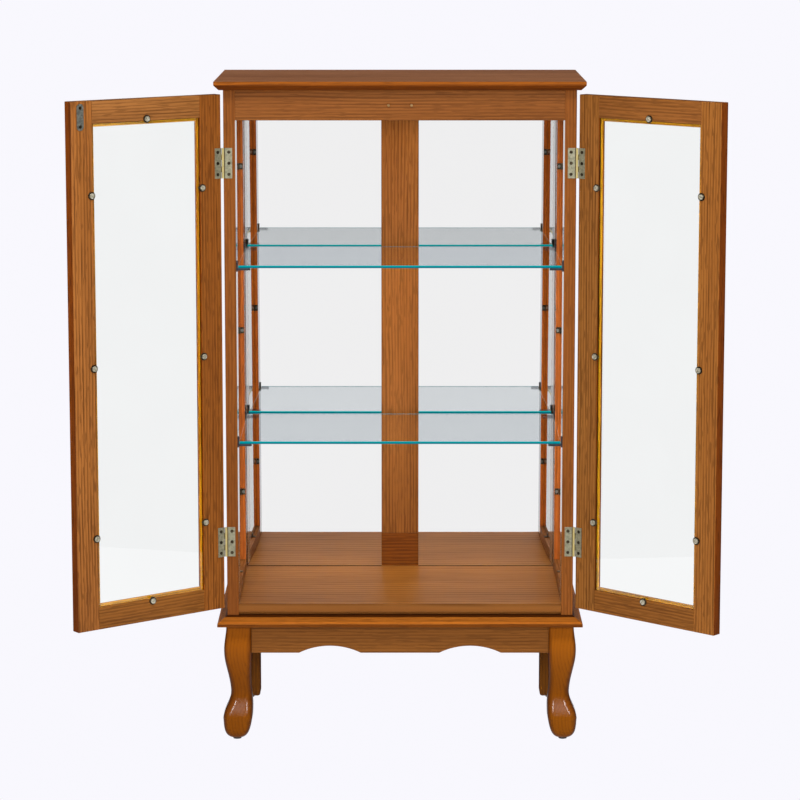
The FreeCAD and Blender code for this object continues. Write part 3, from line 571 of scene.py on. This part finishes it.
# Painted light: the strip is tinted paler towards its top.
finish_sticks(
    "strip", UPRIGHT, (0.63, 0.61, 0.58), ["back_centre_stile"],
    shades=[(STRIP_PAINTED_LIGHT, (1.76, 1.73, 1.62))],
)
finish_sticks("frame", UPRIGHT, (0.85, 0.82, 0.75), sides("back_stile"))
finish_sticks("face_rail", CROSSWISE, (0.68, 0.65, 0.65), ["face_top_rail"], depth=0.9)
finish_sticks("foot_rail", CROSSWISE, (0.46, 0.35, 0.22), ["back_bottom_rail"])
finish_sticks(
    "apron", CROSSWISE, (0.75, 0.77, 0.70), ["apron_front", "apron_rear", "back_top_rail"], depth=0.8
)
finish_sticks(
    "side_rails", SIDEWAYS, (0.85, 0.82, 0.75), sides("side_top_rail", "side_bottom_rail", "apron")
)

# %% [markdown]
# The three boards are moulded or grooved. The top carries a painted pale sheen on its upper face and a
# painted shade under its bevel. On the base a painted shade darkens the square edge and the groove below
# the floor, and a painted highlight lies on the ridge between them. The floor has the widest grain, under
# a smoother lacquer, and a painted shade on its front edge.

# %% Wood on the boards
UP = (0.0, 0.0, 1.0)
UNDER = (0.0, -0.707, -0.707)
SQUARE_ON = 0.95
GROOVE_HEIGHT = 0.0023
RIDGE_LOW = 0.0093
RIDGE_HIGH = 0.0076

base_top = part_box("base_board")[1].z
# Bands of painted shadow in the groove and of painted highlight on the ridge.
groove_shadow = ("band", base_top - GROOVE_HEIGHT, base_top + GROOVE_HEIGHT)
ridge_highlight = ("band", base_top - RIDGE_LOW, base_top - RIDGE_HIGH)
# Painted shade under the bevel, and a painted pale sheen on the upper face.
finish_sticks("top", CROSSWISE, (0.88, 0.68, 0.22), ["top_board"], shades=[
    (("faces", UNDER), (0.68, 0.57, 0.22)),
    (("faces", UP, SQUARE_ON), (1.36, 2.03, 12.0)),
])
# Painted shade on the square front edge and in the groove below the floor, and a painted highlight on the
# ridge.
finish_sticks("base", CROSSWISE, (1.05, 0.93, 0.48), ["base_board"], shades=[
    (("faces", FRONT, SQUARE_ON), (0.48, 0.40, 0.18)),
    (groove_shadow, (0.16, 0.12, 0.08)),
    (ridge_highlight, (1.45, 1.40, 1.3)),
])
# Painted shade on the front edge of the floor.
finish_sticks(
    "floor", CROSSWISE, (0.96, 0.98, 0.79), ["floor_board"], rough=(0.30, 0.44), shine=0.08,
    depth=0.75, fine=0.3, porous=0.25, shades=[(("faces", FRONT), (0.65, 0.66, 0.80))],
)

# %% [markdown]
# The front legs are shaped, and under their lacquer the grain is fainter than elsewhere. They are tinted
# paler at the knee and at the toe as painted light, darker where they turn to the sides as painted shade,
# and a little paler where they turn upwards as a painted highlight; there a clear coat shines as well, as
# on the tops of the feet. The rear legs are plain square sticks, stained darker as a painted shade.

# %% Wood on the legs
# Painted light at the knee and toe, painted shade on the sides, painted highlight on the shoulders.
KNEE_PAINTED_LIGHT = ("fade", 0.085, 0.15)
TOE_PAINTED_LIGHT = ("fade", 0.055, 0.035)
LEG_SIDE_PAINTED_SHADE = ("turned", 0.35, 0.95)
LEG_SHOULDER_PAINTED_HIGHLIGHT = ("upturned", 0.32, 0.48)
FOOT_SHINE = (("upturned", 0.14, 0.40), 0.9, 0.23)

# The shades below are painted light, painted shade and a painted highlight.
finish_sticks(
    "legs", UPRIGHT, (0.55, 0.42, 0.070), sides("front_leg"), rough=(0.28, 0.42), shine=0.05,
    depth=0.45, porous=0.2, gloss=FOOT_SHINE, shades=[
        (KNEE_PAINTED_LIGHT, (1.50, 1.54, 2.0)),
        (TOE_PAINTED_LIGHT, (1.18, 1.22, 1.15)),
        (LEG_SIDE_PAINTED_SHADE, (0.50, 0.45, 0.40)),
        (LEG_SHOULDER_PAINTED_HIGHLIGHT, (1.1, 1.05, 1.2)),
    ],
)
# Painted shade: the rear legs are stained darker.
finish_sticks("rear_legs", UPRIGHT, (0.58, 0.53, 0.17), sides("rear_leg"), rough=(0.30, 0.5))

# %% [markdown]
# Each door is four sticks round a pane. The rails follow the swing of their door, and the stiles have a
# wide, strong grain. The lip that the pane is seated on shows as a golden line, and the edges that face
# away from the hinge carry a painted shade. The free stiles are stained paler than the hinge stiles, as a
# painted light. On the left door the grain of the stiles is turned the other way round, so that its rings
# cross the face and don't run along it.

# %% Wood on the doors
UPRIGHT_TURNED = (0.0, -QUARTER, 0.0)
LIP_GOLD = (1.80, 2.25, 0.40)
STILE_GRAIN = {"depth": 1.2, "fine": 0.65}
DOOR_UPRIGHT = {"left": UPRIGHT_TURNED, "right": UPRIGHT}
# Painted shade on the edges that face away from the hinge.
DOOR_EDGE_SHADES = {"left": (0.75, 0.45, 0.035), "right": (0.63, 0.37, 0.030)}
# Painted light: the free stiles are stained paler than the hinge stiles.
DOOR_STAINS = {
    "left": {"hinge_stile": (0.85, 0.78, 0.53), "free_stile": (1.00, 1.02, 1.0),
             "top_rail": (0.92, 1.02, 1.2), "bottom_rail": (0.77, 0.79, 0.66)},
    "right": {"hinge_stile": (0.88, 0.96, 0.88), "free_stile": (1.06, 1.12, 0.98),
              "top_rail": (0.86, 0.90, 0.93), "bottom_rail": (0.80, 0.83, 0.70)},
}

for side, stains in DOOR_STAINS.items():
    lip = (("plane", *door_seat[side]), LIP_GOLD)
    # Painted shade on the edges facing away from the hinge.
    edge = (("faces", door_along[side]), DOOR_EDGE_SHADES[side])
    for stick, stain in stains.items():
        label = f"{side}_{stick}"
        if stick.endswith("stile"):
            finish_sticks(label, DOOR_UPRIGHT[side], stain, [label], shades=[lip, edge], **STILE_GRAIN)
        else:
            finish_sticks(label, (0.0, 0.0, -door_turn[side]), stain, [label], shades=[lip])

# %% [markdown]
# The back is closed by a thin sheet behind the mirrors. Nobody stains that face: it is plain pressed
# board, a paler brown with short random fibres and no grain.

# %% Back panel
BOARD_PALE = (0.30, 0.175, 0.085)
BOARD_DEEP = (0.17, 0.088, 0.036)
FIBRE_SCALE = 420.0
FIBRE_SHARE = 0.65
CLOUD_SCALE = 6.0
BOARD_ROUGHNESS = (0.62, 0.82)
BOARD_SHINE = 0.3
BOARD_RELIEF = {"Strength": 0.2, "Distance": 0.0003}

pressed_board, tree, shader = start_material("pressed_board")
place = node(tree, "TexCoord", out="Object")
fibres = cloudy(tree, place, FIBRE_SCALE, 5.0, Roughness=0.7)
clouds = cloudy(tree, place, CLOUD_SCALE, 3.0)
short = sums(tree, "MULTIPLY", fibres, FIBRE_SHARE)
mottle = sums(tree, "ADD", short, sums(tree, "MULTIPLY", clouds, 1.0 - FIBRE_SHARE))
feed(shader.inputs["Base Color"], ramp(tree, mottle, (0.36, BOARD_DEEP), (0.66, BOARD_PALE)))
feed(shader.inputs["Roughness"], spread(tree, *BOARD_ROUGHNESS, fibres))
feed(shader.inputs["Specular IOR Level"], BOARD_SHINE)
feed(shader.inputs["Normal"], node(tree, "Bump", {**BOARD_RELIEF, "Height": fibres}))
print("pressed board on", dress(pressed_board, "back_panel"), "panel")

# %% [markdown]
# The panes are ordinary float glass: clear, with a breath of green. The shelves are the same glass but
# seen along their length, where the green deepens, so their cut edges are teal, and a painted glow makes
# them bright teal lines, brightest at the upper arris, with paler painted highlights on the ground ends.
# A mask from the surface's own direction tells the edges from the faces. Such thin glass barely shades
# what lies behind it, so it casts no shadow here.

# %% Glass
PANE_TINT = (0.975, 0.996, 0.944)
SHELF_TINT = (0.955, 0.985, 0.995)
EDGE_TEAL = (0.002, 0.050, 0.060)
# Painted glow of the cut edges, brighter at the upper arris, and a painted highlight on the ends.
EDGE_PAINTED_GLOW = (0.001, 0.150, 0.190)
EDGE_ROUGHNESS = 0.25
ARRIS_PAINTED_GLOW = (0.001, 0.400, 0.430)
ARRIS_WIDTH = 0.0014
END_PAINTED_HIGHLIGHT = (0.50, 0.47, 0.34)
CUT_LIMIT = 0.7
SMEAR_SCALE = 9.0
SMEAR_SHARE = 0.99
GLASS_IOR = 1.5
SHELVES = ("shelf_upper", "shelf_lower")


def clear_glass(name, tint, flat_way, top=None):
    """Glass whose faces are those that look along flat_way, and whose other faces are cut edges. Where
    top is given, the cut edges glow with a painted light, brightest just under that height, and the
    ground ends of the pane carry a paler painted highlight."""
    material, tree, shader = start_material(name)
    facing = node(tree, "TexCoord", out="Normal")
    flat = sums(tree, "ABSOLUTE", dot(tree, facing, flat_way))
    cut = sums(tree, "LESS_THAN", flat, CUT_LIMIT)
    place = node(tree, "TexCoord", out="Object")
    smeared = tuple(SMEAR_SHARE * v for v in tint)
    film = ramp(tree, cloudy(tree, place, SMEAR_SCALE, 2.0), (0.35, smeared), (0.65, tint))
    feed(shader.inputs["Base Color"], blend(tree, cut, film, (*EDGE_TEAL, 1.0)))
    feed(shader.inputs["Roughness"], spread(tree, 0.0, EDGE_ROUGHNESS, cut))
    feed(shader.inputs["Transmission Weight"], spread(tree, 1.0, 0.0, cut))
    feed(shader.inputs["Metallic"], cut)
    feed(shader.inputs["IOR"], GLASS_IOR)
    # Painted light: the cut edges glow, most just under the top, and the ends carry a pale painted
    # highlight.
    if top:
        arris = sums(tree, "GREATER_THAN", height_of(tree, place), top - ARRIS_WIDTH)
        painted_glow = blend(tree, arris, (*EDGE_PAINTED_GLOW, 1.0), (*ARRIS_PAINTED_GLOW, 1.0))
        painted_glow = blend(tree, shade_mask(tree, place, ("sideways",)), painted_glow, (*END_PAINTED_HIGHLIGHT, 1.0))
        feed(shader.inputs["Emission Color"], blend(tree, cut, BLACK, painted_glow))
        feed(shader.inputs["Emission Strength"], 1.0)
    return material


for name in SHELVES:
    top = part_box(name)[1].z
    dress(clear_glass(name + "_glass", SHELF_TINT, UP, top), name)
dress(clear_glass("pane_glass_sides", PANE_TINT, (1, 0, 0)), *sides("side_glass"))
for side in TOWARDS:
    inward = door_seat[side][1]
    dress(clear_glass(f"pane_glass_{side}_door", PANE_TINT, inward), side + "_glass")
panes = [*SHELVES, *sides("side_glass"), "left_glass", "right_glass"]
for name in panes:
    nodes[name].visible_shadow = False
print("glass:", panes)

# %% [markdown]
# The mirrors are silvered glass: a metal shader with almost no roughness, and a very faint haze. Their
# ground edges and their backs are painted dark.

# %% Mirror finishes
SILVER = (0.915, 0.920, 0.876)
HAZE_SHARE = 0.992
HAZE_SCALE = 5.0
HAZE_ROUGHNESS = 0.008
BACKING = (0.022, 0.016, 0.012)
BRUSHED_SHARE = 1.4
BRUSHED_SCALE = 140.0
BACKING_ROUGHNESS = (0.45, 0.7)

silvering, tree, shader = start_material("silvered_mirror")
place = node(tree, "TexCoord", out="Object")
haze = cloudy(tree, place, HAZE_SCALE, 3.0)
hazy = tuple(HAZE_SHARE * v for v in SILVER)
feed(shader.inputs["Base Color"], ramp(tree, haze, (0.3, hazy), (0.7, SILVER)))
feed(shader.inputs["Metallic"], 1.0)
feed(shader.inputs["Roughness"], spread(tree, 0.0, HAZE_ROUGHNESS, haze))

backing, tree, shader = start_material("mirror_backing")
place = node(tree, "TexCoord", out="Object")
brushed = cloudy(tree, place, BRUSHED_SCALE, 3.0)
pale = tuple(BRUSHED_SHARE * v for v in BACKING)
feed(shader.inputs["Base Color"], ramp(tree, brushed, (0.35, BACKING), (0.65, pale)))
feed(shader.inputs["Roughness"], spread(tree, *BACKING_ROUGHNESS, brushed))
print("mirror finishes:", silvering.name, backing.name)

# %% [markdown]
# Thin panes that are pressed in along their outer edge bow back there by about a millimetre, and that
# moves the reflected posts inwards, as the picture shows. A flat slab can't do that, so each pane is
# built again as a fine grid whose outer strip leans back, a little more at the foot than at the head.

# %% Bowed mirrors
BEND_START = 0.048
BEND_FULL = 0.006
LEAN_FOOT = 0.040
LEAN_HEAD = 0.028
COLUMN = 0.0015
ROWS = 40
GROUND_EDGE = 0.0011
SMOOTH_ANGLE = 0.5
SILVERED, PAINTED = 0, 1


def lean_back(inset, lean):
    """How far the pane's face lies back at a distance from its outer edge."""
    if inset >= BEND_START:
        return 0.0
    if inset >= BEND_FULL:
        return lean * (BEND_START - inset) ** 2 / (2 * (BEND_START - BEND_FULL))
    return lean * (BEND_START - BEND_FULL) / 2 + lean * (BEND_FULL - inset)


def pane_grid(pane, low, high, side):
    """The points of a pane, row by row: those of its bowed face, and those of its flat back."""
    outer, inner = (low.x, high.x) if side == "left" else (high.x, low.x)
    way = TOWARDS[side]
    height = high.z - low.z
    insets = [k * COLUMN for k in range(int(BEND_START / COLUMN) + 1)] + [abs(inner - outer)]
    rises = [0.0, GROUND_EDGE] + [height * k / ROWS for k in range(1, ROWS + 1)]
    face, back = [], []
    for rise in rises:
        lean = LEAN_FOOT + (LEAN_HEAD - LEAN_FOOT) * rise / height
        across = [(outer + way * inset, low.y + lean_back(inset, lean)) for inset in insets]
        face.append([pane.verts.new((x, y, low.z + rise)) for x, y in across])
        back.append([pane.verts.new((x, high.y, low.z + rise)) for x, y in across])
    return face, back


def skin_pane(pane, face, back):
    """Closes the grid with faces. All but the face above its ground edge is painted."""
    last = len(face[0]) - 1
    for upper in range(1, len(face)):
        lower = upper - 1
        for grid in (face, back):
            for k in range(last):
                corners = [grid[lower][k], grid[lower][k + 1], grid[upper][k + 1], grid[upper][k]]
                silvered = grid is face and lower > 0
                pane.faces.new(corners).material_index = SILVERED if silvered else PAINTED
        for k in (0, last):
            corners = [face[lower][k], face[upper][k], back[upper][k], back[lower][k]]
            pane.faces.new(corners).material_index = PAINTED
    for row in (0, len(face) - 1):
        for k in range(last):
            corners = [face[row][k], face[row][k + 1], back[row][k + 1], back[row][k]]
            pane.faces.new(corners).material_index = PAINTED


def bowed_mirror(side):
    """A mirror pane with a bowed face and a flat back, in the place of the flat one."""
    low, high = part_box("mirror_" + side)
    pane = bmesh.new()
    skin_pane(pane, *pane_grid(pane, low, high, side))
    bmesh.ops.recalc_face_normals(pane, faces=pane.faces)
    for quad in pane.faces:
        quad.smooth = True
    for edge in pane.edges:
        edge.smooth = edge.calc_face_angle() < SMOOTH_ANGLE
    mesh = bpy.data.meshes.new("bowed_mirror_" + side)
    pane.to_mesh(mesh)
    pane.free()
    mesh.materials.append(silvering)
    mesh.materials.append(backing)
    made = bpy.data.objects.new("bowed_mirror_" + side, mesh)
    scene.collection.objects.link(made)
    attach(made, "carcass")
    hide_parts("mirror_" + side)
    return made


most = round(1000 * lean_back(0.0, LEAN_FOOT), 2)
for side in TOWARDS:
    print(bowed_mirror(side).name, "leans back by at most", most, "mm")

# %% [markdown]
# The small fittings are metal: brass pins, bright nickel screws, dark bronze clips and screws, and dark
# supports and plates. On the doors the dark clips round the pale screw heads also stand for a painted
# shadow. The same tree makes them all: two shades that mingle in fine clouds, worn paler or dulled by
# handling.

# %% Metal finishes
GRIT_SCALE = 1400.0
GRIT_RELIEF = {"Strength": 0.08, "Distance": 0.0002}
# Each metal has its pale and its deep shade, its range of roughness, how metallic it is, and the scale
# of its clouds.
METALS = {
    "pin_brass": ((0.80, 0.60, 0.22), (0.55, 0.40, 0.14), (0.22, 0.38), 1.0, 260.0),
    "warm_nickel": ((0.68, 0.64, 0.50), (0.26, 0.23, 0.15), (0.16, 0.34), 0.3, 420.0),
    "dark_steel": ((0.22, 0.225, 0.19), (0.10, 0.104, 0.088), (0.26, 0.42), 0.4, 260.0),
    "gunmetal": ((0.030, 0.028, 0.034), (0.012, 0.011, 0.014), (0.35, 0.50), 0.2, 260.0),
    "dark_bronze": ((0.10, 0.075, 0.045), (0.035, 0.026, 0.016), (0.32, 0.48), 1.0, 260.0),
    "rubbed_bronze": ((0.48, 0.29, 0.12), (0.30, 0.17, 0.06), (0.30, 0.45), 1.0, 260.0),
}
FITTINGS = {
    "pin_brass": ["hinge_pins"],
    "warm_nickel": ["left_clip_screws", "right_clip_screws"],
    "dark_steel": ["left_strike_plate", "side_clip_screws"],
    "gunmetal": ["shelf_supports"],
    # On the door panes the dark bronze clips round the pale screw heads are also a painted shadow.
    "dark_bronze": ["left_glass_clips", "right_glass_clips", "side_glass_clips", "left_strike_screws",
                    "left_hinge_screws", "right_hinge_screws", "hinge_frame_screws"],
    "rubbed_bronze": ["catch_magnets"],
}


def worn_metal(name, pale, deep, rough, metal, scale):
    """Metal whose colour wanders between two shades and whose shine wanders with it. Under a dull
    lacquer it is less metallic."""
    material, tree, shader = start_material(name)
    place = node(tree, "TexCoord", out="Object")
    cloud = cloudy(tree, place, scale, 4.0, Roughness=0.6)
    grit = cloudy(tree, place, GRIT_SCALE, 2.0)
    feed(shader.inputs["Base Color"], ramp(tree, cloud, (0.35, deep), (0.65, pale)))
    feed(shader.inputs["Metallic"], metal)
    feed(shader.inputs["Roughness"], spread(tree, *rough, cloud))
    feed(shader.inputs["Normal"], node(tree, "Bump", {**GRIT_RELIEF, "Height": grit}))
    return material


for name, fittings in FITTINGS.items():
    print(name, dress(worn_metal(name, *METALS[name]), *fittings))

# %% [markdown]
# A butt hinge is one strip rolled round a pin. The leaves are dulled to a greenish grey, while the barrel
# carries a painted highlight and the crease beside it a painted shade. All three lie at known distances
# from the hinge's axis, so the distance in plan picks the shade. The two sides mirror each other, so
# places are folded onto one side first.

# %% Hinge leaves
BARREL_RADIUS = 0.0021
CREASE_RADIUS = 0.0031
# Painted highlight on the barrel, painted shade in the crease.
BARREL_PAINTED_HIGHLIGHT = (0.62, 0.50, 0.20, 1.0)
CREASE_PAINTED_SHADE = (0.03, 0.024, 0.012, 1.0)
LEAF_DEEP = (0.21, 0.20, 0.125)
LEAF_PALE = (0.36, 0.34, 0.225)
LEAF_SCALE = 300.0
LEAF_METAL = 0.5
LEAF_ROUGHNESS = (0.30, 0.52)
IN_PLAN = (1, 1, 0)


def hinge_brass(name, pivot):
    """Antiqued brass with a painted highlight on the barrel round the pivot and a painted shade in the
    crease beside it.
    """
    material, tree, shader = start_material(name)
    place = node(tree, "TexCoord", out="Object")
    folded = node(tree, "VectorMath", {0: place}, operation="ABSOLUTE")
    level = node(tree, "VectorMath", {0: folded, 1: IN_PLAN}, operation="MULTIPLY")
    axis = (abs(pivot[0]), abs(pivot[1]), 0.0)
    reach = node(tree, "VectorMath", {0: level, 1: axis}, out="Value", operation="DISTANCE")
    # Painted highlight on the barrel and painted shade in the crease, picked by distance from the axis.
    barrel_highlight = sums(tree, "LESS_THAN", reach, BARREL_RADIUS)
    crease_shade = sums(tree, "LESS_THAN", reach, CREASE_RADIUS)
    cloud = cloudy(tree, place, LEAF_SCALE, 4.0, Roughness=0.6)
    dull = ramp(tree, cloud, (0.35, LEAF_DEEP), (0.65, LEAF_PALE))
    colour = blend(tree, crease_shade, dull, CREASE_PAINTED_SHADE)
    feed(shader.inputs["Base Color"], blend(tree, barrel_highlight, colour, BARREL_PAINTED_HIGHLIGHT))
    feed(shader.inputs["Metallic"], LEAF_METAL)
    feed(shader.inputs["Roughness"], spread(tree, *LEAF_ROUGHNESS, cloud))
    return material


hinge_metal = hinge_brass("hinge_brass", hinges["left_door"]["pos_m"])
leaves = ["left_hinge_leaves", "right_hinge_leaves", "hinge_frame_leaves"]
print("hinge leaves:", dress(hinge_metal, *leaves))

# %% [markdown]
# Under each foot sits a small moulded glide that keeps the wood off the floor. It is dull and nearly
# black, with a fine speckle.

# %% Glides
NYLON_DEEP = (0.02, 0.016, 0.012)
NYLON_PALE = (0.04, 0.03, 0.022)
SPECKLE_SCALE = 900.0
NYLON_ROUGHNESS = (0.45, 0.62)

moulded_nylon, tree, shader = start_material("moulded_nylon")
place = node(tree, "TexCoord", out="Object")
speckle = cloudy(tree, place, SPECKLE_SCALE, 2.0)
feed(shader.inputs["Base Color"], ramp(tree, speckle, (0.3, NYLON_DEEP), (0.7, NYLON_PALE)))
feed(shader.inputs["Roughness"], spread(tree, *NYLON_ROUGHNESS, speckle))
print("glides:", dress(moulded_nylon, "leg_glides"))

# %% [markdown]
# Nothing in a workshop leaves with razor-sharp arrises. A small bevel on the wood catches light along
# the edges, and shows where one stick meets the next. The CAD meshes come in triangles, so they are
# welded and their flat faces merged before the bevel. The front legs are round already and stay as they
# are.

# %% Eased edges
EASE = 0.0007
EASE_STEPS = 2
WELD_REACH = 1e-5
FLAT_ANGLE = math.radians(0.5)
SHARP_ANGLE = math.radians(40)


def ease_edges(name):
    """Rounds the sharp edges of a CAD node a little, by modifiers alone."""
    held = nodes[name]
    weld = held.modifiers.new("weld", "WELD")
    weld.merge_threshold = WELD_REACH
    flat = held.modifiers.new("flatten", "DECIMATE")
    flat.decimate_type = "DISSOLVE"
    flat.angle_limit = FLAT_ANGLE
    bevel = held.modifiers.new("ease", "BEVEL")
    bevel.width = EASE
    bevel.segments = EASE_STEPS
    bevel.limit_method = "ANGLE"
    bevel.angle_limit = SHARP_ANGLE
    bevel.use_clamp_overlap = False
    bevel.loop_slide = False
    bevel.harden_normals = True


boards = ["top_board", "base_board", "floor_board"]
rails = ["face_top_rail", "back_top_rail", "back_bottom_rail", "back_centre_stile"]
rails += ["apron_front", "apron_rear"]
paired = sides("front_post", "rear_post", "side_top_rail", "side_bottom_rail", "apron", "back_stile")
paired += sides("rear_leg")
door_wood = [f"{side}_{stick}" for side, stains in DOOR_STAINS.items() for stick in stains]
eased = boards + rails + paired + door_wood
for name in eased:
    ease_edges(name)
print("eased", len(eased), "sticks and boards")
